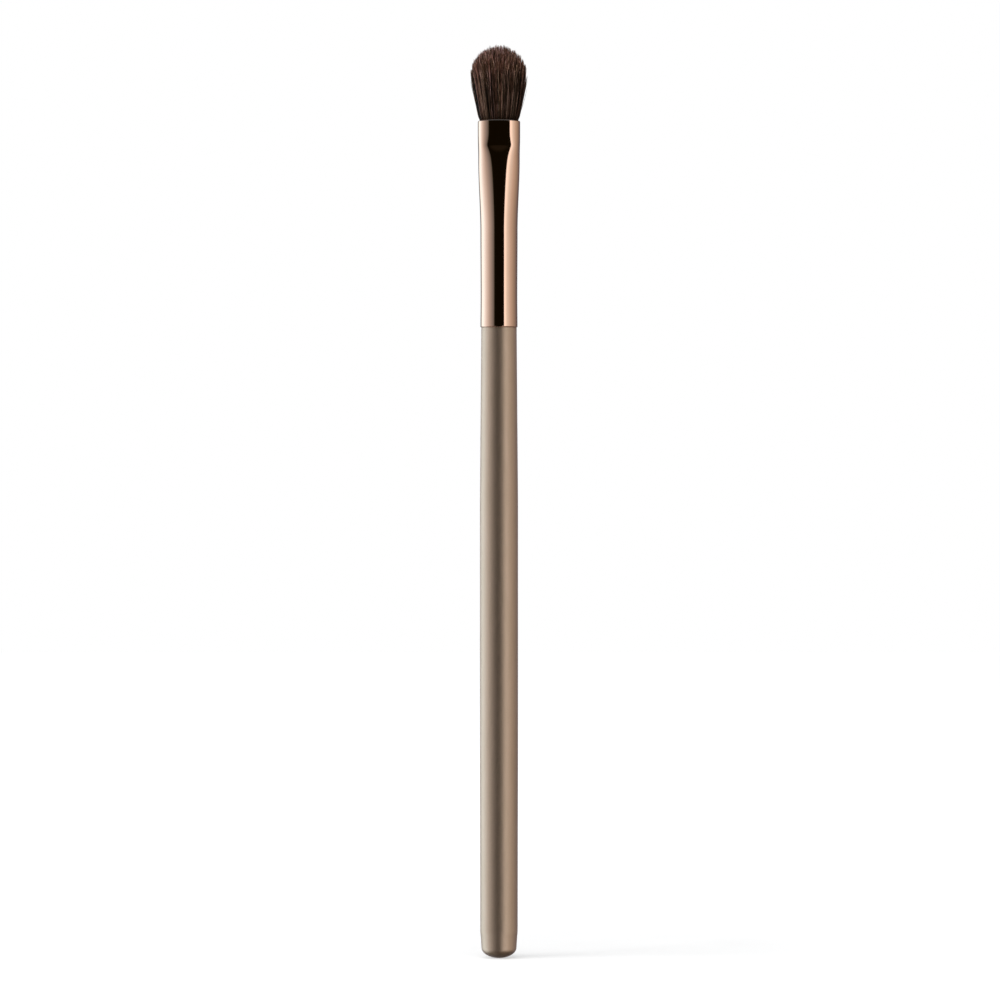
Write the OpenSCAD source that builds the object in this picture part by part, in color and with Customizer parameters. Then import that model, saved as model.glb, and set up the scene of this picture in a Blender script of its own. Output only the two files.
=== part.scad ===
// An eyeshadow brush: a turned handle, a seamless ferrule drawn from a circle to a
// flattened oval, and a knot of hair that is bound, set in resin and fanned out of the mouth.
// Millimetres. +Z runs from the butt to the tip of the hair, the origin is the lowest point
// of the butt, and the wide side of the head faces -Y.

/* [Handle] */
// From the lowest point of the butt to the start of the straight grip
tail_len = 36.8; // [25:0.1:50]
// Straight, truly cylindrical length that a holder takes
grip_len = 48.5; // [30:0.1:70]
// Diameter of the straight grip
grip_d = 7.1; // [6.9:0.05:8.5]
// Taper from the grip up to the ferrule
neck_len = 32.15; // [20:0.05:50]
// Diameter of the tail just above the soft edge of the butt
tail_d = 6.97; // [6.8:0.01:8.4]
// Diameter at the soft edge of the butt
edge_d = 6.74; // [6.5:0.01:7.2]
// Diameter at the foot of the dome
dome_d = 6.52; // [5.8:0.01:6.7]
// Height of the dome that ends the butt
dome_h = 1.9; // [0.8:0.1:3.2]
// From the foot of the dome up to the soft edge
edge_up = 1.7; // [0.8:0.1:3]
// Length over which the soft edge runs out into the tail
edge_run = 1.4; // [0.6:0.1:3]

/* [Tenon] */
// How far below the start of the ferrule's flattening the tenon ends
tenon_back = 3.1; // [2.8:0.1:5]
// Number of glue grooves turned into the tenon
groove_count = 3; // [1:1:4]
// Width of a glue groove
groove_w = 1.2; // [0.6:0.1:1.6]
// Depth of a glue groove
groove_depth = 0.4; // [0.2:0.05:0.8]
// Chamfer on the tenon's leading edge
tenon_chamfer = 0.4; // [0.2:0.05:0.8]

/* [Ferrule] */
// Length of the ferrule
ferrule_len = 38.55; // [32:0.05:50]
// Outer diameter where the ferrule meets the handle
ferrule_d = 6.9; // [6.7:0.05:7.3]
// Thickness of the metal
ferrule_wall = 0.35; // [0.25:0.01:0.45]
// How far the ferrule stands proud of the handle on each side
ferrule_proud = 0.15; // [0.1:0.01:0.24]
// Outer width of the flattened mouth
lip_w = 7.88; // [7.5:0.01:8.6]
// Outer thickness of the flattened mouth
lip_t = 5.4; // [5:0.05:6.2]
// Length of the flattened lip, from the crease to the mouth
lip_len = 4.8; // [3:0.1:7]
// How far the crease is pinched in below the lip on each side
crease_pinch = 0.04; // [0:0.01:0.1]
// Length over which the end of the flare closes in to the crease
close_len = 2.4; // [1.5:0.1:4]
// Length of the flare from the round shank to where it closes in
flare_len = 13.6; // [10:0.1:16]

/* [Hair] */
// How far the hair stands out of the mouth
hair_len = 14; // [11:0.1:18]
// Widest width of the fanned hair
hair_w = 10.77; // [9.5:0.01:13]
// Widest thickness of the fanned hair
hair_t = 8.2; // [7:0.1:10]
// Height of the widest place above the mouth
belly_up = 8.3; // [6:0.1:9.5]
// Height above the mouth at which the freed hair has sprung out
spring_up = 1.4; // [1:0.1:2.5]
// How far the sprung hair stands outside the ferrule on each side
spring_out = 0.16; // [0.05:0.01:0.4]
// How far single hairs may end short of the dome
tip_scatter = 0.7; // [0:0.05:1.2]
// Rows of strands each way; the head has this number squared
hair_rows = 18; // [18:1:19]

/* [Root] */
// Diameter of the binding thread
thread_d = 0.35; // [0.25:0.01:0.45]
// Clear space between neighbouring turns of the thread
thread_gap = 0.5; // [0.45:0.05:0.8]
// Turns of thread round the gathered roots
thread_turns = 4; // [2:1:5]
// Bare root above and below the thread
bind_margin = 0.6; // [0.4:0.05:1.2]
// Length over which the gathered roots spread to fill the ferrule
gather_len = 5; // [3:0.1:6.5]
// Thickness of the resin between the thread and the ferrule
glue_wall = 0.45; // [0.35:0.01:0.7]
// Thickness of the resin under the roots
glue_floor = 1; // [0.6:0.1:1.4]
// How far up the gathering the resin has risen
glue_rise = 2.4; // [1:0.1:2.8]
// Empty space in the ferrule between the tenon and the resin
air_len = 2.6; // [1.5:0.1:2.7]

/* [Hidden] */
$fn = 96;

// Clearance between pieces that the adhesive or the press of the hair closes
fit = 0.02;
// Clearance between the outer hair and the inside of the mouth
hair_fit = 0.05;
// Overrun of the cuts past the faces that they open
overrun = 0.5;

// Small forms of the handle
neck_round = 0.12;
dome_steps = 12;
edge_steps = 5;
round_steps = 3;

// Small forms of the ferrule, which narrows a little between its lower edge and the flare
waist_in = 0.04;
shank_out = 0.01;
flare_in = 0.08;
flare_swell = 0.3;
rim_r = 0.14;
waist_height_share = 0.31;
// Share of the lip's length over which its section recovers from the crease
recover_share = 0.55;
// How much flatter than an ellipse's the broad faces are, and how late they turn so
crease_flat_share = 0.45;
lip_flat_share = 0.25;
flat_power = 7;

// Number of sides of every drawn oval, and rings along each span of the ferrule
sides = 48;
span_rings = [1, 2, 9, 5, 4, 1];

// The hair's backing slice lies this deep in the mouth and is this thick
slice_down = 0.3;
slice_h = 1.2;
// A strand's reach inside its own cell at its foot, where it has sprung and below its tip
foot_share = 0.62;
spring_share = 0.84;
belly_share = 0.94;
// Height of a strand's last ring, from where it has sprung to its tip
belly_height_share = 0.8;
// The rows of strands lie at this angle to the head's width, so that no view looks down a lane
row_turn = 20;
scatter_seed = 7;

// Rings in one turn of the thread, and sides of the thread
turn_rings = 24;
thread_sides = 6;
root_chamfer = 0.3;
gather_rings = 5;

// Handle
grip_end = tail_len + grip_len;
handle_len = grip_end + neck_len;
neck_r = ferrule_d / 2 - ferrule_proud;

// Heights along the ferrule, from its lower edge
lip_h = ferrule_len - lip_len;
flare_h = lip_h - close_len;
shank_h = flare_h - flare_len;
tenon_len = shank_h - tenon_back;

// Height, width and thickness of the ferrule's outside where its form changes. All spans run
// smoothly into each other except at the crease.
waist_d = ferrule_d - 2 * waist_in;
shank_d = ferrule_d + 2 * shank_out;
pinch = 2 * crease_pinch;
recover_len = lip_len * recover_share;
stations = [
    [0, ferrule_d, ferrule_d],
    [shank_h * waist_height_share, waist_d, waist_d],
    [shank_h, shank_d, shank_d],
    [flare_h, lip_w - 2 * flare_in, lip_t + 2 * flare_swell],
    [lip_h, lip_w - pinch, lip_t - pinch],
    [lip_h + recover_len, lip_w, lip_t],
    [ferrule_len, lip_w, lip_t]
];
// Number of the station at the crease
crease = 4;
bore_r = waist_d / 2 - ferrule_wall;
tenon_r = bore_r - fit;

// Heights of the hidden root, from the ferrule's lower edge
root_h = tenon_len + air_len + glue_floor;
thread_pitch = thread_d + thread_gap;
throat_h = root_h + 2 * bind_margin + thread_turns * thread_pitch + thread_d;
full_h = throat_h + gather_len;
slice_top = ferrule_len - slice_down;
slice_bottom = slice_top - slice_h;

// Radii of the hidden root
throat_r = bore_r - glue_wall - thread_d - 2 * fit;
thread_path_r = (throat_r + fit + thread_d / 2) / cos(180 / turn_rings);
pocket_r = (norm([thread_path_r, thread_d]) + thread_d / 2 + fit) / cos(180 / sides);

// Half width and half thickness of the hair where it leaves the mouth and has sprung
foot_half = [lip_w / 2 - ferrule_wall - hair_fit, lip_t / 2 - ferrule_wall - hair_fit];
spring_half = [lip_w / 2 + spring_out, lip_t / 2 + spring_out];
belly_half = [hair_w / 2, hair_t / 2];

function mix(a, b, share) = a + (b - a) * share;
function ease(share) = share * share * (3 - 2 * share);
function settle(share) = share * (2 - share);
function limit(share) = min(max(share, 0), 1);

// How much flatter than an ellipse's the ferrule's broad faces are at a height
function flatness(h) =
    h < lip_h ? crease_flat_share * limit((h - shank_h) / (lip_h - shank_h)) ^ flat_power
    : mix(crease_flat_share, lip_flat_share, settle(limit((h - lip_h) / recover_len)));

// The ferrule's outside at a height: width, thickness and flatness
function section(h, i = 0) =
    h > stations[i + 1][0] && i < len(stations) - 2 ? section(h, i + 1) :
    let (low = stations[i], high = stations[i + 1],
         along = limit((h - low[0]) / (high[0] - low[0])),
         share = i + 1 == crease ? along ^ 2 : i == crease ? settle(along) : ease(along))
    [mix(low[1], high[1], share), mix(low[2], high[2], share), flatness(h)];

// A closed oval whose broad faces are flatter than an ellipse's
function oval(half_w, half_t, flat) = [
    for (k = [0:sides - 1]) let (a = 360 * k / sides)
        [half_w * cos(a), half_t * sin(a) * (1 + flat * cos(a) ^ 2)]
];
function at_height(outline, h) = [for (p = outline) [p.x, p.y, handle_len + h]];

// A ring of the ferrule, set in from its outside; inner rings stand outside their true curve
function ferrule_ring(h, inset) =
    let (s = section(h), grow = mix(1, 1 / cos(180 / sides), inset / ferrule_wall))
    at_height(oval((s[0] / 2 - inset) * grow, (s[1] / 2 - inset) * grow, s[2]), h);

// Heights of the ferrule's rings between its two rims
ring_heights = [
    for (i = [0:len(span_rings) - 1]) for (k = [0:span_rings[i] - 1])
        mix(stations[i][0], stations[i + 1][0], k / span_rings[i])
];
function heights_between(low, high) = [for (h = ring_heights) if (h > low && h < high) h];
function reversed(list) = [for (i = [len(list) - 1:-1:0]) list[i]];

// The root at a height: bound to a round throat, then spread until it fills the bore
function root_section(h) =
    let (s = section(h), share = ease(limit((h - throat_h) / gather_len)))
    [mix(throat_r, s[0] / 2 - ferrule_wall - fit, share),
     mix(throat_r, s[1] / 2 - ferrule_wall - fit, share),
     s[2] * share];
function root_ring(h, outset = 0) =
    let (s = root_section(h)) at_height(oval(s[0] + outset, s[1] + outset, s[2]), h);
function round_ring(h, r) = at_height(oval(r, r, 0), h);
gather_heights = [for (k = [0:gather_rings]) mix(throat_h, full_h, k / gather_rings)];

// A skin over rings of equal count, closed by two end faces or by joining its last ring to its
// first
module skin(rings, looped = false) {
    count = len(rings);
    n = len(rings[0]);
    walls = [
        for (r = [0:count - (looped ? 1 : 2)]) for (k = [0:n - 1])
            let (a = r * n + k, b = r * n + (k + 1) % n,
                 d = (r + 1) % count * n + k, c = (r + 1) % count * n + (k + 1) % n)
            each [[a, d, c], [a, c, b]]
    ];
    last = (count - 1) * n;
    ends = looped ? [] : [for (k = [1:n - 2]) each [[0, k, k + 1], [last, last + k + 1, last + k]]];
    polyhedron([for (ring = rings) each ring], concat(walls, ends));
}

// Half outline of the turned handle, from the butt up to the tenon's end
handle_outline = [
    for (k = [0:dome_steps]) let (a = 90 * k / dome_steps)
        [dome_d / 2 * sin(a), dome_h * (1 - cos(a))],
    for (k = [0:edge_steps]) let (share = k / edge_steps)
        [mix(edge_d, tail_d, ease(share)) / 2, dome_h + edge_up + edge_run * share],
    [grip_d / 2, tail_len],
    [grip_d / 2, grip_end],
    for (k = [0:round_steps]) let (a = 90 * k / round_steps)
        [neck_r - neck_round * (1 - cos(a)), handle_len - neck_round * (1 - sin(a))],
    [tenon_r, handle_len],
    [tenon_r, handle_len + tenon_len - tenon_chamfer],
    [tenon_r - tenon_chamfer, handle_len + tenon_len],
    [0, handle_len + tenon_len]
];

// Each child is drawn at the lower edge of one glue groove
module at_grooves() {
    for (k = [1:groove_count])
        translate([0, 0, handle_len + tenon_len * k / (groove_count + 1) - groove_w / 2])
            children();
}

module ring_band(r_in, r_out, h) {
    rotate_extrude() translate([r_in, 0]) square([r_out - r_in, h]);
}

module handle() {
    color("#8b7a69") difference() {
        rotate_extrude() polygon(handle_outline);
        at_grooves() ring_band(tenon_r - groove_depth, tenon_r + overrun, groove_w);
    }
}

// Adhesive set in the grooves, between their floors and the ferrule's bore
module tenon_glue() {
    color("#d9c98f") at_grooves()
        translate([0, 0, fit])
            ring_band(tenon_r - groove_depth + fit, bore_r - fit / 2, groove_w - 2 * fit);
}

// Drawn tube: rounded lower edge, narrow waist, flare, crease, flat lip and full-round mouth
module ferrule() {
    lip_r = ferrule_wall / 2;
    body_heights = heights_between(rim_r, ferrule_len - lip_r);
    lower_rim = [
        for (k = [0:round_steps]) let (a = 90 * k / round_steps)
            [rim_r * (1 - cos(a)), rim_r * (1 - sin(a))]
    ];
    mouth_rim = [
        for (k = [0:2 * round_steps]) let (a = 90 * k / round_steps)
            [ferrule_len - lip_r + lip_r * sin(a), lip_r * (1 - cos(a))]
    ];
    profile = concat(
        lower_rim,
        [for (h = body_heights) [h, 0]],
        mouth_rim,
        [for (h = reversed(body_heights)) [h, ferrule_wall]],
        [[0, ferrule_wall]]
    );
    color("#d7a68e") skin([for (p = profile) ferrule_ring(p[0], p[1])], looped = true);
}

// Hair roots: a chamfered bound end, a gathered throat and a plug that fills the bore
module root_bundle() {
    color("#3a2a20") skin(concat(
        [round_ring(root_h, throat_r - root_chamfer), round_ring(root_h + root_chamfer, throat_r)],
        [for (h = gather_heights) root_ring(h)],
        [for (h = heights_between(full_h, slice_bottom)) root_ring(h)],
        [root_ring(slice_bottom)]
    ));
}

// Resin cup that locks the bound roots to the ferrule, with a pocket round the thread
module root_glue() {
    bottom = root_h - glue_floor;
    top = throat_h + glue_rise;
    pocket_low = root_h + bind_margin / 2;
    pocket_high = throat_h - bind_margin / 2;
    throat_clear = throat_r + fit;
    outer_heights = concat([bottom], heights_between(bottom, top), [top]);
    color("#e3cf98") skin(concat(
        [for (h = outer_heights) let (s = section(h))
            at_height(oval(s[0] / 2 - ferrule_wall - fit, s[1] / 2 - ferrule_wall - fit, s[2]), h)],
        [root_ring(top, fit)],
        [for (h = reversed(gather_heights)) if (h < top) root_ring(h, fit)],
        [round_ring(pocket_high, throat_clear), round_ring(pocket_high, pocket_r)],
        [round_ring(pocket_low, pocket_r), round_ring(pocket_low, throat_clear)],
        [round_ring(root_h - fit, throat_clear)]
    ));
}

// The thread's path: one helix, whose two ends run straight for one diameter
thread_lead = atan(thread_pitch / (2 * PI * thread_path_r));
thread_low = handle_len + root_h + bind_margin + thread_d / 2;
function thread_along(a) = [-sin(a) * cos(thread_lead), cos(a) * cos(thread_lead), sin(thread_lead)];
function thread_up(a) = [sin(a) * sin(thread_lead), -cos(a) * sin(thread_lead), cos(thread_lead)];
function thread_point(a, ahead = 0) =
    [thread_path_r * cos(a), thread_path_r * sin(a), thread_low + thread_pitch * a / 360]
    + thread_along(a) * ahead;
function thread_ring(a, ahead = 0) = [
    for (k = [0:thread_sides - 1]) let (b = 360 * k / thread_sides)
        thread_point(a, ahead) + thread_d / 2 * (cos(b) * [cos(a), sin(a), 0] + sin(b) * thread_up(a))
];
thread_end = 360 * thread_turns;
thread_angles = [for (k = [0:turn_rings * thread_turns]) 360 * k / turn_rings];

// Least gap of the thread to itself, between points at least half a turn apart
thread_path = [for (a = thread_angles) thread_point(a)];
thread_clear = min([
    for (i = [0:len(thread_path) - 1]) for (j = [i + turn_rings / 2:1:len(thread_path) - 1])
        norm(thread_path[j] - thread_path[i])
]) - thread_d;

module binding_thread() {
    echo(str("binding_thread: least gap to itself ", thread_clear, " mm"));
    color("#e9e1d2") skin(reversed(concat(
        [thread_ring(0, -thread_d)],
        [for (a = thread_angles) thread_ring(a)],
        [thread_ring(thread_end, thread_d)]
    )));
}

// A square grid laid onto the unit disc with equal areas, so that strands fill the oval evenly
function disc(u, v) =
    u == 0 && v == 0 ? [0, 0] :
    abs(u) >= abs(v) ? let (a = 45 * v / u + row_turn) u * [cos(a), sin(a)] :
    let (a = 90 - 45 * u / v + row_turn) v * [cos(a), sin(a)];

// A place of the disc on the hair's section of the given half width and half thickness. Every
// height uses the same map, so strands that start in separate cells never cross.
function hair_place(u, v, half, h) =
    let (p = disc(u, v), swell = p == [0, 0] ? 0 : lip_flat_share * p.x ^ 2 / (p * p))
    [half[0] * p.x, half[1] * p.y * (1 + swell), handle_len + h];

// Half sizes of the fan at a height above the mouth, drawn out so that the outer strands' faces
// lie on the outline, and the height at which a strand meets the dome
outer_face = 1 - (1 - belly_share / 2) / hair_rows;
function fan_half(up) =
    mix(spring_half, belly_half, (up - spring_up) / (belly_up - spring_up)) / outer_face;
function dome_up(share) =
    let (spread = (belly_half[0] - spring_half[0]) / (belly_up - spring_up) / belly_half[0],
         dome = hair_len - belly_up,
         a = (share * spread) ^ 2 + 1 / dome ^ 2,
         b = 2 * share ^ 2 * spread,
         c = share ^ 2 - 1)
    belly_up + (sqrt(b ^ 2 - 4 * a * c) - b) / (2 * a);

// Three corners of a strand inside its cell, whose middle is u, v
strand_turns = [90, 210, 330];
function strand_ring(u, v, reach, half, h) = [
    for (a = strand_turns)
        hair_place(u + reach / hair_rows * cos(a), v + reach / hair_rows * sin(a), half, h)
];
function strand_points(u, v, scatter) =
    let (tip_up = dome_up(norm(disc(u, v))) - tip_scatter * scatter,
         last_up = mix(spring_up, tip_up, belly_height_share))
    concat(
        strand_ring(u, v, foot_share, foot_half, slice_top),
        strand_ring(u, v, spring_share, spring_half / outer_face, ferrule_len + spring_up),
        strand_ring(u, v, belly_share, fan_half(last_up), ferrule_len + last_up),
        [hair_place(u, v, fan_half(tip_up), ferrule_len + tip_up)]
    );

// The visible head: strands on a shared backing slice, all one closed skin
module hair_tuft() {
    rows = hair_rows;
    line = rows + 1;
    corners = [
        for (i = [0:rows]) for (j = [0:rows])
            hair_place(2 * i / rows - 1, 2 * j / rows - 1, foot_half, slice_top)
    ];
    rim = concat(
        [for (k = [0:rows - 1]) k * line],
        [for (k = [0:rows - 1]) rows * line + k],
        [for (k = [0:rows - 1]) (rows - k) * line + rows],
        [for (k = [0:rows - 1]) rows - k]
    );
    floor_points = [for (k = rim) [corners[k].x, corners[k].y, handle_len + slice_bottom]];
    scatters = rands(0, 1, rows * rows, scatter_seed);
    strands = [
        for (i = [0:rows - 1]) for (j = [0:rows - 1])
            each strand_points((2 * i + 1) / rows - 1, (2 * j + 1) / rows - 1, scatters[i * rows + j])
    ];
    first_floor = len(corners);
    first_strand = first_floor + len(floor_points);
    n = len(strand_turns);
    strand_rings = 3;
    strand_size = strand_rings * n + 1;
    cells = [
        for (i = [0:rows - 1]) for (j = [0:rows - 1])
            let (c0 = (i + 1) * line + j + 1, c1 = i * line + j + 1, c2 = i * line + j,
                 c3 = (i + 1) * line + j, s = first_strand + (i * rows + j) * strand_size,
                 last = s + (strand_rings - 1) * n)
            each concat(
                [[c0, s, c1], [c1, s, s + 1], [c1, s + 1, c2], [c2, s + 1, c3],
                 [c3, s + 1, s + 2], [c3, s + 2, c0], [c0, s + 2, s]],
                [for (ring = [0:strand_rings - 2]) for (k = [0:n - 1])
                    let (low = s + n * ring, high = low + n, next = (k + 1) % n)
                    each [[low + k, high + k, high + next], [low + k, high + next, low + next]]],
                [for (k = [0:n - 1]) [last + k, last + n, last + (k + 1) % n]]
            )
    ];
    count = len(rim);
    walls = [
        for (k = [0:count - 1]) let (next = (k + 1) % count)
            each [[first_floor + k, rim[k], rim[next]], [first_floor + k, rim[next], first_floor + next]]
    ];
    underside = [for (k = [1:count - 2]) [first_floor, first_floor + k, first_floor + k + 1]];
    color("#45342c") polyhedron(concat(corners, floor_points, strands), concat(cells, walls, underside));
}

handle();
ferrule();
hair_tuft();
root_bundle();
binding_thread();
root_glue();
tenon_glue();
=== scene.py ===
"""The looks of an eyeshadow brush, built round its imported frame.

The frame gives the handle and the pieces hidden in the ferrule. Two things are made here: the
ferrule as a fine polished loft, and the head of hair as thousands of tapered hairs in locks.
Lengths in the tables are in millimetres and are turned into metres where a mesh is made.
"""
import math

import bpy
import numpy as np
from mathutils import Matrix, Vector


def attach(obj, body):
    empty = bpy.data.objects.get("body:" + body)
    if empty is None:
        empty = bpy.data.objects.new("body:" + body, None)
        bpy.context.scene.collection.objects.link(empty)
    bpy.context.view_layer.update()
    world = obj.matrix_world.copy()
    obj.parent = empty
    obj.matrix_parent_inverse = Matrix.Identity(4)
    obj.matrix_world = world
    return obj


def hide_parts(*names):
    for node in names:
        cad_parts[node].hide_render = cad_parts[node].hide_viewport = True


MM = 0.001
FULL_TURN = 2 * math.pi
GOLDEN_ANGLE = math.pi * (3 - math.sqrt(5))

# The picture's scale in millimetres a pixel, its size in pixels, and the row of the butt's
# lowest point
PIXEL = 0.1863
PICTURE = 1000
BUTT_ROW = 957.8
# The camera's lens and sensor width, and how far it stands to the right of the brush's axis
LENS = 155
SENSOR = 36
CAMERA_X = 0.19

# Heights above the butt
HANDLE_TOP = 117.45
MOUTH = 156.0

# The ferrule's outside: height above its lower edge, width, thickness
STATIONS = [
    (0.0, 6.90, 6.90),
    (5.5, 6.82, 6.82),
    (17.75, 6.92, 6.92),
    (31.35, 7.72, 6.00),
    (33.75, 7.80, 5.32),
    (36.39, 7.88, 5.40),
    (38.55, 7.88, 5.40),
]
SHANK = 2
CREASE = 4
# How much flatter than an ellipse's the broad faces are, and how late they turn so
CREASE_FLAT = 0.45
LIP_FLAT = 0.25
FLAT_POWER = 7
FERRULE_WALL = 0.35
# Roundings of the edges: the mouth's outside and inside, and the lower edge's outside
MOUTH_R = 0.23
BORE_R = 0.10
EDGE_R = 0.14
# The mouth's edge stands this much higher at the broad faces than at the corners
MOUTH_ARCH = 0.10
# How finely the ferrule is divided: round it, along it, and over each rounding
FERRULE_SIDES = 224
FERRULE_SPANS = 170
RIM_STEPS = 8

# The hair: height above the mouth, half width and half thickness of the whole head there
FAN = [
    (-1.45, 3.52, 2.28),
    (-0.15, 3.52, 2.28),
    (0.2, 3.64, 2.40),
    (0.5, 3.78, 2.55),
    (0.9, 3.91, 2.68),
    (1.6, 4.07, 2.84),
]
# Above the fan the hairs spread on, in a slight bulge, to this half width and half thickness at
# their tips. The outermost end at the belly's height, the middle ones by the dome's height above.
BELLY = (5.30, 4.02)
BULGE = 0.2
BELLY_UP = 8.28
DOME_H = 5.72

SEED = 20
HAIRS = 7200
LOCKS = 340
STRANDS = 3200
HAIR_PIECES = 3
HAIR_SIDES = 3
# How far a hair, and a lock or strand, is from its even place, as a share of the spacing
HAIR_JITTER = 0.35
LOCK_JITTER = 0.3
# A lock ends up to LOCK_SHORT below the dome and is pointed: its hairs end lower by LOCK_POINT
# times the square of their distance from its middle. A hair ends lower still by HAIR_SHORT on
# average, and all are raised to make up for it.
LOCK_SHORT = 0.45
LOCK_POINT = 0.65
HAIR_SHORT = 0.05
TIP_RAISE = 0.30
# How far tips are off sideways, by lock, by strand and by hair, and the lean of the whole head
LOCK_LEAN = 0.05
STRAND_LEAN = 0.05
HAIR_LEAN = 0.03
HEAD_LEAN = -0.10
LEAN_POWER = 1.6
# A hair's waves: how far they go aside, and their angle from the fan to the tip in radians
HAIR_WAVE = 0.035
WAVE_ANGLE = 5.0
# How far a lock draws its tips together: the least share, and how much more at random
PULL = 0.4
PULL_MORE = 0.2
# Some of the hairs this far out end lower, by between two lengths, and stand off a little
STRAY_FROM = 0.95
STRAY_SHARE = 0.06
STRAY_SHORT = (0.2, 3.0)
STRAY_OUT = 0.02
# Where a hair's points lie between the top of the fan and its tip
STEPS = np.array([0.0, 0.16, 0.34, 0.52, 0.68, 0.82, 0.93, 1.0])
# The least and the greatest radius of a hair, and the share of it that is left further along
HAIR_R = (0.030, 0.042)
TAPER_AT = [0, 0.5, 0.9, 1]
TAPER = [1, 0.95, 0.75, 0.25]

# A hair's colour is one of these many shades in one of these many tints
SHADES = 16
TINTS = 4
# The usual shade, from 0 to 1
USUAL_SHADE = 0.345
# Going left from the middle, the left side is reached at this rate. It is darker, which keeps
# its mean while its strands are spread into painted light streaks and painted shade between them.
LEFT_RATE = 1.5
LEFT_DARKER = 0.22
# The left edge starts at this share of the half width and is full after this much more. It is
# lighter again: painted light on the outermost hairs at the left.
EDGE_FROM = 0.82
EDGE_SPAN = 0.15
LEFT_EDGE_PAINTED_LIGHT = 0.20
# How far shades are apart by lock, by strand, by strand at the left as well, and by hair. The
# extra spread at the left paints light streaks with shaded gaps between them.
LOCK_SPREAD = 0.04
STRAND_SPREAD = 0.19
LEFT_PAINTED_STREAKS = 0.32
HAIR_SPREAD = 0.16
# The share of a lock's mean that is taken off its strands, so that locks don't stand out
BALANCE = 0.8
# Painted shade between locks: a lock is darker outwards from this distance from its middle,
# and painted lighter inwards
LOCK_PAINTED_SHADE = 0.10
LOCK_MIDDLE = 0.6
# This share of the hairs has the tint after its lock's
OTHER_TINT = 0.3

# The floor's half width in metres
FLOOR_HALF = 1.6
# The grey that lights matt surfaces from all sides
PLAIN_LIGHT = 0.32
# Lamps, in metres and watts: name, place, what it is aimed at, width and height, power
LAMPS = [
    ("left_lamp", (-0.5, -0.2, 0.3), (0, 0, 0.15), (0.3, 0.6), 3.1),
    ("right_lamp", (0.45, -0.45, 0.3), (0, 0, 0.09), (0.3, 0.8), 0.85),
    ("top_lamp", (-0.1, -0.3, 0.9), (0, 0, 0.15), (0.5, 0.5), 4.7),
]


def metres(rows):
    return np.asarray(rows, float) * MM


def greys(stops):
    """A ramp's stops from single values."""
    return [(place, (value, value, value)) for place, value in stops]


def mesh_object(name, points, faces):
    mesh = bpy.data.meshes.new(name)
    mesh.from_pydata(np.asarray(points, float).tolist(), [], faces)
    mesh.polygons.foreach_set("use_smooth", np.ones(len(mesh.polygons), bool))
    mesh.update()
    piece = bpy.data.objects.new(name, mesh)
    bpy.context.scene.collection.objects.link(piece)
    return piece


# Materials


class Graph:
    """A node tree that is written as calls: add() makes a node with its inputs set or linked."""

    def __init__(self, owner):
        owner.use_nodes = True
        self.tree = owner.node_tree
        self.tree.nodes.clear()

    def add(self, kind, inputs=None, **settings):
        node = self.tree.nodes.new(kind)
        for key, value in settings.items():
            setattr(node, key, value)
        for key, value in (inputs or {}).items():
            if isinstance(value, bpy.types.NodeSocket):
                self.tree.links.new(value, node.inputs[key])
            else:
                node.inputs[key].default_value = value
        return node

    def maths(self, operation, *values):
        node = self.add("ShaderNodeMath", dict(enumerate(values)), operation=operation)
        return node.outputs[0]

    def vector_maths(self, operation, *values):
        node = self.add("ShaderNodeVectorMath", dict(enumerate(values)), operation=operation)
        return node.outputs[0]

    def ramp(self, share, stops, interpolation="LINEAR"):
        node = self.add("ShaderNodeValToRGB", {"Fac": share})
        ramp = node.color_ramp
        ramp.interpolation = interpolation
        while len(ramp.elements) < len(stops):
            ramp.elements.new(1.0)
        # Places come first, because the elements are kept in their order
        for element, (place, _) in zip(ramp.elements, stops):
            element.position = place
        for element, (_, colour) in zip(ramp.elements, stops):
            element.color = (*colour, 1.0)
        return node.outputs["Color"]

    def ramp_by_degrees(self, angle, low, high, stops):
        """A ramp over an angle, whose stops have their places in degrees from low to high."""
        share = self.scale_to(angle, math.radians(low), math.radians(high), 0.0, 1.0)
        return self.ramp(share, [((place - low) / (high - low), c) for place, c in stops])

    def scale_to(self, value, low, high, to_low, to_high):
        node = self.add(
            "ShaderNodeMapRange",
            {
                "Value": value,
                "From Min": low,
                "From Max": high,
                "To Min": to_low,
                "To Max": to_high,
            },
        )
        return node.outputs["Result"]

    def noise(self, place, scale, detail=2.0, roughness=0.5):
        node = self.add(
            "ShaderNodeTexNoise",
            {"Vector": place, "Scale": scale, "Detail": detail, "Roughness": roughness},
        )
        return node.outputs["Fac"]

    def stretched(self, place, factors):
        return self.add("ShaderNodeMapping", {"Vector": place, "Scale": factors}).outputs[0]

    def bump(self, height, strength, distance):
        node = self.add(
            "ShaderNodeBump", {"Height": height, "Strength": strength, "Distance": distance}
        )
        return node.outputs["Normal"]


def material(name, paint):
    """A material from one of the functions below, which give the shader's inputs."""
    made = bpy.data.materials.new(name)
    graph = Graph(made)
    place = graph.add("ShaderNodeTexCoord").outputs["Object"]
    sockets = paint(graph, place)
    shader = graph.add("ShaderNodeBsdfPrincipled", sockets)
    graph.add("ShaderNodeOutputMaterial", {"Surface": shader.outputs[0]})
    return made


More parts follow.
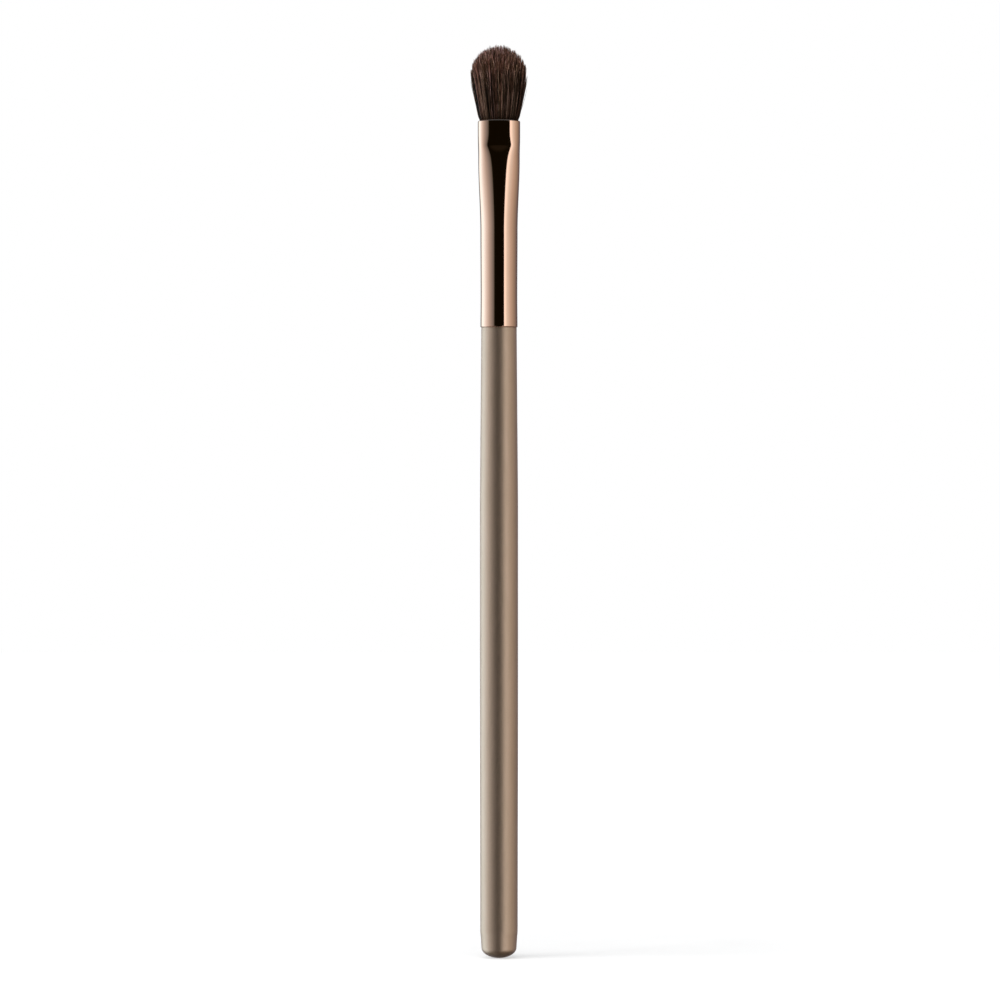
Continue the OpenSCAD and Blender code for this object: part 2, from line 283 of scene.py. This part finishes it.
def lacquer(graph, place):
    """Satin pearl lacquer: a metallic taupe with fine flakes under a thin clear coat."""
    cloud = graph.noise(graph.stretched(place, (900, 900, 160)), 1.0)
    flake = graph.add("ShaderNodeTexVoronoi", {"Vector": place, "Scale": 5200.0}).outputs
    sparkle = graph.add("ShaderNodeTexWhiteNoise", {"Vector": flake["Position"]}).outputs["Value"]
    base = graph.ramp(cloud, [(0.3, (0.65, 0.462, 0.324)), (0.7, (0.69, 0.487, 0.350))])
    tone = graph.scale_to(sparkle, 0.0, 1.0, 0.97, 1.03)
    grain = graph.noise(place, 4200.0, 3.0)
    return {
        "Base Color": graph.vector_maths("MULTIPLY", base, tone),
        "Metallic": 0.95,
        "Roughness": graph.scale_to(sparkle, 0.0, 1.0, 0.41, 0.49),
        "Coat Weight": 0.1,
        "Coat Roughness": 0.3,
        "Sheen Weight": 0.35,
        "Sheen Roughness": 0.4,
        "Sheen Tint": (1.0, 0.8, 0.8, 1.0),
        "Normal": graph.bump(grain, 0.06, 0.00003),
    }


def rose_gold(graph, place):
    """Polished plated metal with faint lengthwise polishing lines and soft clouding."""
    lines = graph.noise(graph.stretched(place, (9000, 9000, 60)), 1.0, 3.0)
    cloud = graph.noise(place, 300.0)
    return {
        "Base Color": graph.ramp(cloud, [(0.3, (0.87, 0.545, 0.385)), (0.7, (0.89, 0.56, 0.40))]),
        "Metallic": 1.0,
        "Roughness": graph.maths(
            "ADD",
            graph.scale_to(lines, 0.35, 0.65, 0.035, 0.075),
            graph.scale_to(cloud, 0.3, 0.7, 0.0, 0.02),
        ),
        "Normal": graph.bump(lines, 0.03, 0.000005),
    }


def hair_look(graph, _):
    """Each hair has a shade and a tint of its own, painted glints and dark spots along its length,
    and painted shade that darkens it towards the mouth, with painted light near the tips. The
    shades are furthest apart over the lower half, but not at the mouth itself; the wider spread
    paints dark gaps and light streaks there. The attribute holds the shade, the place along the
    hair and the tint, each from 0 to 1."""
    own = graph.add("ShaderNodeAttribute", attribute_name="strand").outputs["Vector"]
    own_shade, along_hair, own_tint = graph.add("ShaderNodeSeparateXYZ", {0: own}).outputs
    # How far the shades are spread along the hair: partly the hairs' own tones, and partly painted
    # shade in the gaps between hairs and painted light on them, over the lower half
    spread_and_painted_gaps = graph.ramp(
        along_hair, greys([(0.10, 0.60), (0.22, 1.40), (0.60, 1.40), (0.72, 0.72), (1.0, 0.80)])
    )
    # Painted glints and dark spots: each hair turns lighter and darker along its length
    painted_glint = graph.noise(graph.stretched(own, (40.0, 10.0, 30.0)), 1.0, 1.0)
    painted_glint = graph.scale_to(painted_glint, 0.25, 0.75, -0.28, 0.28)
    # The spread moves the shades away from the middle one
    middle = 0.4
    apart = graph.maths("ADD", graph.maths("SUBTRACT", own_shade, middle), painted_glint)
    shade = graph.ramp(
        graph.maths("ADD", graph.maths("MULTIPLY", apart, spread_and_painted_gaps), middle),
        [
            (0.0, (0.004, 0.002, 0.001)),
            (0.25, (0.030, 0.015, 0.0075)),
            (0.50, (0.095, 0.048, 0.026)),
            (0.75, (0.222, 0.122, 0.075)),
            (1.0, (0.59, 0.355, 0.268)),
        ],
    )
    # Painted shade towards the mouth, and painted light, lighter and bluer, towards the tips
    painted_shade_by_height = graph.ramp(
        along_hair,
        greys([(0.0, 0.36), (0.25, 0.42), (0.56, 0.56)])
        + [(0.72, (1.12, 1.09, 1.17)), (1.0, (1.22, 1.25, 1.70))],
    )
    tint = graph.ramp(
        own_tint,
        [
            (0.0, (1.12, 0.93, 0.90)),
            (0.25, (1.0, 1.0, 1.0)),
            (0.5, (0.95, 1.02, 0.92)),
            (0.75, (1.0, 0.96, 1.10)),
        ],
        "CONSTANT",
    )
    shade_there = graph.vector_maths("MULTIPLY", shade, painted_shade_by_height)
    return {
        "Base Color": graph.vector_maths("MULTIPLY", shade_there, tint),
        "Roughness": 0.42,
        "Specular IOR Level": 0.15,
        "Specular Tint": (1.0, 0.8, 0.6, 1.0),
    }


def bound_hair(graph, place):
    """Hairs pressed together side by side: dark and light streaks, with a bump for each."""
    streaks = graph.noise(graph.stretched(place, (7000, 7000, 120)), 1.0, 3.0)
    return {
        "Base Color": graph.ramp(
            streaks, [(0.3, (0.02, 0.012, 0.008)), (0.7, (0.09, 0.06, 0.045))]
        ),
        "Roughness": graph.scale_to(streaks, 0.3, 0.7, 0.35, 0.55),
        "Normal": graph.bump(streaks, 0.5, 0.00005),
    }


def yarn(graph, place):
    """Twisted thread: ply lines that run slantwise round the thread."""
    wave = graph.add(
        "ShaderNodeTexWave",
        {"Vector": place, "Scale": 900.0, "Distortion": 1.5, "Detail": 2.0},
        bands_direction="DIAGONAL",
    ).outputs["Fac"]
    return {
        "Base Color": graph.ramp(wave, [(0.0, (0.55, 0.49, 0.38)), (1.0, (0.80, 0.74, 0.62))]),
        "Roughness": 0.8,
        "Normal": graph.bump(wave, 0.6, 0.00004),
    }


def resin(graph, place):
    """Set adhesive, amber, with small bubbles."""
    bubbles = graph.add("ShaderNodeTexVoronoi", {"Vector": place, "Scale": 2500.0}).outputs
    cloud = graph.noise(place, 500.0, 3.0)
    return {
        "Base Color": graph.ramp(cloud, [(0.3, (0.60, 0.42, 0.15)), (0.7, (0.74, 0.58, 0.27))]),
        "Roughness": graph.scale_to(bubbles["Distance"], 0.0, 0.5, 0.35, 0.15),
        "Normal": graph.bump(bubbles["Distance"], 0.2, 0.00005),
    }


# Ferrule


def ease(share):
    """From 0 to 1, level at both ends."""
    return share * share * (3 - 2 * share)


def settle(share):
    """From 0 to 1, level at the end only."""
    return share * (2 - share)


def way_up(height, low, high):
    """How far a height is from one station to another, from 0 to 1."""
    return min(max((height - STATIONS[low][0]) / (STATIONS[high][0] - STATIONS[low][0]), 0), 1)


def flatness(height):
    if height < STATIONS[CREASE][0]:
        return CREASE_FLAT * way_up(height, SHANK, CREASE) ** FLAT_POWER
    return CREASE_FLAT + (LIP_FLAT - CREASE_FLAT) * settle(way_up(height, CREASE, CREASE + 1))


def outside(height):
    """Width, thickness and flatness of the ferrule's outside at a height above its lower edge. All
    spans run smoothly into each other except at the crease."""
    last = len(STATIONS) - 2
    span = next((i for i in range(last) if height <= STATIONS[i + 1][0]), last)
    share = way_up(height, span, span + 1)
    if span + 1 == CREASE:
        share = share ** 2
    elif span == CREASE:
        share = settle(share)
    else:
        share = ease(share)
    low, high = STATIONS[span][1:], STATIONS[span + 1][1:]
    width, thickness = [a + (b - a) * share for a, b in zip(low, high)]
    return width, thickness, flatness(height)


def rounding(radius):
    """The points of a rounded edge, as their distances down from the rim and in from the side."""
    turns = [math.pi / 2 * k / RIM_STEPS for k in range(RIM_STEPS + 1)]
    return [(radius * (1 - math.sin(a)), radius * (1 - math.cos(a))) for a in turns]


def ferrule_path():
    """Height and inset from the outside: up the outside, over the mouth's rim, down the inside."""
    length = STATIONS[-1][0]
    heights = np.linspace(EDGE_R, length - MOUTH_R, FERRULE_SPANS + 1)[1:-1]
    path = rounding(EDGE_R)[::-1]
    path += [(h, 0.0) for h in heights]
    path += [(length - down, inset) for down, inset in rounding(MOUTH_R)]
    path += [(length - down, FERRULE_WALL - inset) for down, inset in rounding(BORE_R)[::-1]]
    path += [(h, FERRULE_WALL) for h in reversed(heights[::2])]
    path += [(0.0, FERRULE_WALL)]
    return path


def make_ferrule():
    path = ferrule_path()
    turn = np.arange(FERRULE_SIDES) / FERRULE_SIDES * FULL_TURN
    points = []
    for height, inset in path:
        width, thickness, flat = outside(height)
        x = (width / 2 - inset) * np.cos(turn)
        y = (thickness / 2 - inset) * np.sin(turn) * (1 + flat * np.cos(turn) ** 2)
        lower = MOUTH_ARCH * ease(way_up(height, CREASE, -1)) * (np.sin(turn) ** 2 - 1)
        points.append(np.column_stack([x, y, HANDLE_TOP + height + lower]))
    faces = []
    for i in range(len(path)):
        low, high = i * FERRULE_SIDES, (i + 1) % len(path) * FERRULE_SIDES
        for j in range(FERRULE_SIDES):
            k = (j + 1) % FERRULE_SIDES
            faces.append((low + j, low + k, high + k, high + j))
    return mesh_object("ferrule_shell", metres(np.concatenate(points)), faces)


# Hair


def disc(count, rng, jitter):
    """Evenly spread places on a unit disc, each moved a little at random."""
    k = np.arange(count) + 0.5
    r = np.sqrt(k / count)
    turn = k * GOLDEN_ANGLE
    places = np.stack([r * np.cos(turn), r * np.sin(turn)], axis=1)
    places += rng.normal(0, jitter / math.sqrt(count), places.shape)
    size = np.linalg.norm(places, axis=1, keepdims=True)
    return places / np.maximum(size, 1)


def nearest(places, centres):
    """The number of the centre that is nearest to each place, and how far away it is."""
    apart = np.linalg.norm(places[:, None, :] - centres[None, :, :], axis=2)
    own = apart.argmin(axis=1)
    return own, apart[np.arange(len(places)), own]


class Head:
    """All the hairs. Each has its place on a unit disc, and belongs to a lock and to a strand,
    which is finer. The steps draw from one generator, so they are taken in the order in which
    they stand here."""

    def __init__(self):
        self.rng = np.random.default_rng(SEED)
        self.place = disc(HAIRS, self.rng, HAIR_JITTER)
        locks = disc(LOCKS, self.rng, LOCK_JITTER)
        self.lock, off = nearest(self.place, locks)
        self.lock_place = locks[self.lock]
        # Distance from the lock's middle, in spacings of locks
        self.off = off * math.sqrt(LOCKS)
        self.strand, _ = nearest(self.place, disc(STRANDS, self.rng, LOCK_JITTER))

    def centre_lines(self):
        """The points of each hair's middle, their heights above the mouth, and how far each is
        from the top of the fan to the tip, from 0 to 1."""
        rng, place, lock = self.rng, self.place, self.lock
        lock_r = np.linalg.norm(self.lock_place, axis=1)
        tip = BELLY_UP + DOME_H * np.sqrt(np.clip(1 - lock_r ** 2, 0, 1))
        tip -= rng.uniform(0, LOCK_SHORT, LOCKS)[lock]
        tip -= LOCK_POINT * self.off ** 2 + rng.exponential(HAIR_SHORT, HAIRS)
        tip += TIP_RAISE
        lean = rng.normal(0, LOCK_LEAN, (LOCKS, 2))[lock] + rng.normal(0, HAIR_LEAN, (HAIRS, 2))
        lean[:, 0] += HEAD_LEAN
        cross = rng.normal(0, STRAND_LEAN, (STRANDS, 2))[self.strand]
        wave = rng.normal(0, HAIR_WAVE, (HAIRS, 2))
        wave_start = rng.uniform(0, FULL_TURN, HAIRS)
        pull = PULL + PULL_MORE * rng.random(LOCKS)[lock]
        stray = (np.linalg.norm(place, axis=1) > STRAY_FROM) & (rng.random(HAIRS) < STRAY_SHARE)
        tip[stray] -= rng.uniform(*STRAY_SHORT, stray.sum())
        lean[stray] += STRAY_OUT * place[stray]

        foot = [row[0] for row in FAN[:-1]]
        fan_top = FAN[-1][0]
        heights = np.concatenate(
            [np.tile(foot, (HAIRS, 1)), fan_top + (tip[:, None] - fan_top) * STEPS[None, :]],
            axis=1,
        )
        share = np.clip((heights - fan_top) / (tip[:, None] - fan_top), 0, 1)
        half = np.empty((*heights.shape, 2))
        for axis in range(2):
            low = np.interp(heights, [row[0] for row in FAN], [row[1 + axis] for row in FAN])
            half[:, :, axis] = low + (BELLY[axis] - low) * share * (1 + BULGE - BULGE * share)
        gather = (pull[:, None] * share ** 3)[:, :, None]
        middle = place[:, None, :] * (1 - gather) + self.lock_place[:, None, :] * gather
        middle *= half
        middle += lean[:, None, :] * (share ** LEAN_POWER)[:, :, None]
        middle += cross[:, None, :] * share[:, :, None]
        sway = np.sin(share * WAVE_ANGLE + wave_start[:, None]) * share
        middle += wave[:, None, :] * sway[:, :, None]
        return np.concatenate([middle, heights[:, :, None] + MOUTH], axis=2), heights, share

    def tubes(self, centre, share):
        """The points of each hair's skin: rings round its middle that taper to the tip."""
        rng = self.rng
        radius = rng.uniform(*HAIR_R, HAIRS)[:, None] * np.interp(share, TAPER_AT, TAPER)
        ahead = np.gradient(centre, axis=1)
        ahead /= np.linalg.norm(ahead, axis=2, keepdims=True)
        side = np.cross(ahead, [0.0, 1.0, 0.0])
        side /= np.linalg.norm(side, axis=2, keepdims=True)
        over = np.cross(ahead, side)
        turn = rng.uniform(0, FULL_TURN, HAIRS)[:, None]
        turn = turn + np.arange(HAIR_SIDES) / HAIR_SIDES * FULL_TURN
        ring = (
            side[:, :, None, :] * np.cos(turn)[:, None, :, None]
            + over[:, :, None, :] * np.sin(turn)[:, None, :, None]
        )
        return centre[:, :, None, :] + ring * radius[:, :, None, None]

    def colours(self):
        """The numbers of each hair's shade and tint. Light and dark strands are balanced within
        each lock, in locks with painted shade at their edges and painted light in their middles.
        At the left they are further apart, as painted light streaks with painted shade between
        them, and the outermost hairs there have painted light."""
        rng, lock = self.rng, self.lock
        leftward = -self.place[:, 0]
        left = np.clip(LEFT_RATE * leftward, 0, 1)
        edge = np.clip((leftward - EDGE_FROM) / EDGE_SPAN, 0, 1)
        # Painted light on the outermost hairs at the left, on a base that is darker at the left
        shade = USUAL_SHADE - LEFT_DARKER * left + LEFT_EDGE_PAINTED_LIGHT * edge
        shade += rng.normal(0, LOCK_SPREAD, LOCKS)[lock]
        streak = rng.gumbel(0, 1, STRANDS)[self.strand]
        usual = np.bincount(lock, streak, LOCKS) / np.bincount(lock, minlength=LOCKS)
        streak -= BALANCE * (usual[lock] - streak.mean())
        # Wider at the left: painted light streaks and painted shade between them
        shade += (STRAND_SPREAD + LEFT_PAINTED_STREAKS * left) * streak
        # Each hair's own tone, and painted shade at its lock's edges, where locks meet, with
        # painted light in the lock's middle
        shade += rng.normal(0, HAIR_SPREAD, HAIRS) - LOCK_PAINTED_SHADE * (self.off - LOCK_MIDDLE)
        shade = np.clip((shade * SHADES).astype(int), 0, SHADES - 1)
        tint = rng.integers(0, TINTS, LOCKS)[lock] + (rng.random(HAIRS) < OTHER_TINT)
        return shade, tint % TINTS


def one_hair(levels):
    """The faces of one hair, which are its walls, its foot and its tip. Then, for each of their
    corners, its place round the hair, from 0 to 1, and its level."""
    faces, corners = [], []
    for i in range(levels - 1):
        low, high = i * HAIR_SIDES, (i + 1) * HAIR_SIDES
        for j in range(HAIR_SIDES):
            k = (j + 1) % HAIR_SIDES
            faces.append((low + j, low + k, high + k, high + j))
            here, there = j / HAIR_SIDES, (j + 1) / HAIR_SIDES
            corners += [(here, i), (there, i), (there, i + 1), (here, i + 1)]
    top = (levels - 1) * HAIR_SIDES
    faces += [tuple(range(HAIR_SIDES))[::-1], tuple(range(top, top + HAIR_SIDES))]
    for level in (0, levels - 1):
        corners += [(j / (HAIR_SIDES - 1), level) for j in range(HAIR_SIDES)]
    places, corner_levels = zip(*corners)
    return faces, np.array(places), np.array(corner_levels)


def make_hair():
    head = Head()
    centre, heights, share = head.centre_lines()
    points = head.tubes(centre, share)
    shade, tint = head.colours()
    levels = heights.shape[1]
    along_hair = np.clip((heights - FAN[0][0]) / (BELLY_UP + DOME_H - FAN[0][0]), 0, 1)
    hair_faces, corner_place, corner_level = one_hair(levels)

    look = material("hair_strands", hair_look)
    order = np.argsort(np.arctan2(head.place[:, 1], head.place[:, 0]), kind="stable")
    for number, chosen in enumerate(np.array_split(order, HAIR_PIECES), 1):
        hair_points = levels * HAIR_SIDES
        faces = []
        for first in range(0, len(chosen) * hair_points, hair_points):
            faces += [tuple(first + c for c in face) for face in hair_faces]
        piece = mesh_object(f"hair_{number}", metres(points[chosen].reshape(-1, 3)), faces)
        mesh = piece.data
        tone = np.ones((len(chosen), levels, HAIR_SIDES, 4), np.float32)
        tone[..., 0] = (shade[chosen, None, None] + 0.5) / SHADES
        tone[..., 1] = along_hair[chosen][:, :, None]
        tone[..., 2] = (tint[chosen, None, None] + 0.5) / TINTS
        attribute = mesh.color_attributes.new("strand", "FLOAT_COLOR", "POINT")
        attribute.data.foreach_set("color", tone.ravel())
        # On a baked picture each colour has a column of its own, which hairs run up. A tenth of
        # the column stays free at each side, and a hundredth of the picture above and below.
        column = shade[chosen] * TINTS + tint[chosen]
        u = (column[:, None] + 0.1 + 0.8 * corner_place[None, :]) / (SHADES * TINTS)
        v = along_hair[chosen][:, corner_level] * 0.98 + 0.01
        layer = mesh.uv_layers.new(name="OFBake")
        layer.uv.foreach_set("vector", np.stack([u, v], axis=2).astype(np.float32).ravel())
        mesh.materials.append(look)
        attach(piece, "root")
        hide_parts("hair_tuft")


# Stage


def make_floor():
    corners = [(-1, -1), (1, -1), (1, 1), (-1, 1)]
    floor = mesh_object(
        "floor", [(x * FLOOR_HALF, y * FLOOR_HALF, 0) for x, y in corners], [(0, 1, 2, 3)]
    )
    made = bpy.data.materials.new("floor_white")
    graph = Graph(made)
    ray = graph.add("ShaderNodeLightPath").outputs
    place = graph.add("ShaderNodeTexCoord").outputs["Object"]
    speckle = graph.ramp(graph.noise(place, 60.0), greys([(0.3, 0.42), (0.7, 0.44)]))
    matt = graph.add("ShaderNodeBsdfDiffuse", {"Color": speckle})
    # Seen by the camera it is white, a little less so near the object, whose shadow shows there
    reach = graph.add("ShaderNodeVectorMath", {0: place}, operation="LENGTH").outputs["Value"]
    lift = graph.scale_to(reach, 0.05, 0.30, 0.55, 0.85)
    lift = graph.maths("MULTIPLY", ray["Is Camera Ray"], lift)
    glow = graph.add("ShaderNodeEmission", {"Strength": lift})
    both = graph.add("ShaderNodeAddShader", {0: matt.outputs[0], 1: glow.outputs[0]})
    graph.add("ShaderNodeOutputMaterial", {"Surface": both.outputs[0]})
    floor.data.materials.append(made)
    floor.visible_glossy = False


# The studio's walls, by degrees round to the right from the side where the camera stands
WALLS = [
    (-180, (0.16, 0.18, 0.20)),
    (-146, (0.22, 0.27, 0.31)),
    (-134, (1.25, 1.65, 1.88)),
    (-112, (1.25, 1.67, 2.03)),
    (-84, (0.84, 0.95, 1.07)),
    (-61, (0.50, 0.53, 0.56)),
    (-41, (0.25, 0.27, 0.30)),
    (-31, (0.13, 0.14, 0.14)),
    (-28, (0.005, 0.004, 0.001)),
    (31, (0.005, 0.004, 0.001)),
    (34, (1.40, 1.45, 1.52)),
    (54, (0.81, 0.87, 0.89)),
    (76, (0.60, 0.57, 0.54)),
    (102, (0.39, 0.37, 0.33)),
    (139, (0.15, 0.135, 0.16)),
    (178, (0.10, 0.10, 0.10)),
]
# How much of the walls is left, by degrees up: little of it far down and above their top
FAR_DOWN = (0.17, 0.14, 0.11)
WALLS_UP = [(-90, FAR_DOWN), (-41.4, FAR_DOWN)] + greys(
    [(-30.6, 1.0), (18, 1.0), (34.2, 0.05), (90, 0.05)]
)
# What is added to them, by degrees up: a dim ceiling and a softbox overhead
CEILING = (0.012, 0.010, 0.007)
SOFTBOX = (0.20, 0.30, 0.40)
OVERHEAD = greys([(0, 0.0), (18, 0.0)]) + [
    (27, CEILING),
    (49.5, CEILING),
    (54, SOFTBOX),
    (81, SOFTBOX),
    (90, (0.10, 0.15, 0.20)),
]


def make_world():
    """A studio, as the polished and satin metal mirror it: a dark card round the camera, a bright
    strip at its right that fades round to the back, a broad light at the back left and a softbox
    overhead, over walls that are dim far down. Matt surfaces are lit by plain grey, and the
    camera itself sees white."""
    world = bpy.data.worlds.new("studio")
    bpy.context.scene.world = world
    graph = Graph(world)
    way = graph.add("ShaderNodeTexCoord").outputs["Generated"]
    x, y, z = graph.add("ShaderNodeSeparateXYZ", {0: way}).outputs
    turn = graph.maths("ARCTAN2", x, graph.maths("MULTIPLY", y, -1.0))
    rise = graph.maths("ARCSINE", z)
    # More than 14 degrees down, ways are turned 12 degrees from the card, which makes it narrower
    # there. It is full from 7 degrees down upwards.
    aside = graph.scale_to(rise, *[math.radians(angle) for angle in (-14, -7, 12, 0)])
    turn = graph.maths("ADD", turn, graph.maths("MULTIPLY", aside, graph.maths("SIGN", turn)))
    walls = graph.vector_maths(
        "MULTIPLY",
        graph.ramp_by_degrees(turn, -180, 180, WALLS),
        graph.ramp_by_degrees(rise, -90, 90, WALLS_UP),
    )
    around = graph.vector_maths("ADD", walls, graph.ramp_by_degrees(rise, 0, 90, OVERHEAD))
    ray = graph.add("ShaderNodeLightPath").outputs
    seen = graph.maths("MAXIMUM", ray["Is Camera Ray"], ray["Is Transmission Ray"])
    studio, plain, white = [
        graph.add("ShaderNodeBackground", {"Color": colour, "Strength": strength}).outputs[0]
        for colour, strength in [(around, 1.0), ((1, 1, 1, 1), PLAIN_LIGHT), ((1, 1, 1, 1), 1.0)]
    ]
    lit = graph.add("ShaderNodeMixShader", {"Fac": ray["Is Diffuse Ray"], 1: studio, 2: plain})
    mixed = graph.add("ShaderNodeMixShader", {"Fac": seen, 1: lit.outputs[0], 2: white})
    graph.add("ShaderNodeOutputWorld", {"Surface": mixed.outputs[0]})


def make_lamp(name, place, aim, size, power):
    light = bpy.data.lights.new(name, "AREA")
    light.shape = "RECTANGLE"
    light.size, light.size_y = size
    light.energy = power
    lamp = bpy.data.objects.new(name, light)
    lamp.location = place
    lamp.rotation_euler = Vector(np.subtract(place, aim)).to_track_quat("Z", "Y").to_euler()
    lamp.visible_glossy = False
    bpy.context.scene.collection.objects.link(lamp)


def make_camera():
    data = bpy.data.cameras.new("camera")
    data.lens = LENS
    data.sensor_width = SENSOR
    camera = bpy.data.objects.new("camera", data)
    distance = PIXEL * PICTURE * LENS / SENSOR
    camera.location = (CAMERA_X * MM, -distance * MM, (BUTT_ROW - PICTURE / 2) * PIXEL * MM)
    camera.rotation_euler = (math.pi / 2, 0, 0)
    bpy.context.scene.collection.objects.link(camera)
    bpy.context.scene.camera = camera


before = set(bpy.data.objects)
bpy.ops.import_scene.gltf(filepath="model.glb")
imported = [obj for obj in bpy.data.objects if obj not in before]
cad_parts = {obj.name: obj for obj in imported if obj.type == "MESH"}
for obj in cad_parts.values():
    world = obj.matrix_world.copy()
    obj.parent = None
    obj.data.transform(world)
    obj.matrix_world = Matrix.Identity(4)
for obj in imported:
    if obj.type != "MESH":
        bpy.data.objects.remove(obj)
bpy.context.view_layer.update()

make_camera()
make_world()
make_floor()
for lamp_facts in LAMPS:
    make_lamp(*lamp_facts)

ferrule = make_ferrule()
ferrule.data.materials.append(material("polished_rose_gold", rose_gold))
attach(ferrule, "root")
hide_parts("ferrule")

make_hair()

for node_name, node_paint in {
    "handle": lacquer,
    "root_bundle": bound_hair,
    "binding_thread": yarn,
    "root_glue": resin,
    "tenon_glue": resin,
}.items():
    node_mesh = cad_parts[node_name].data
    node_mesh.materials.clear()
    node_mesh.materials.append(material(f"{node_name}_look", node_paint))

bpy.context.scene.view_settings.view_transform = "Standard"
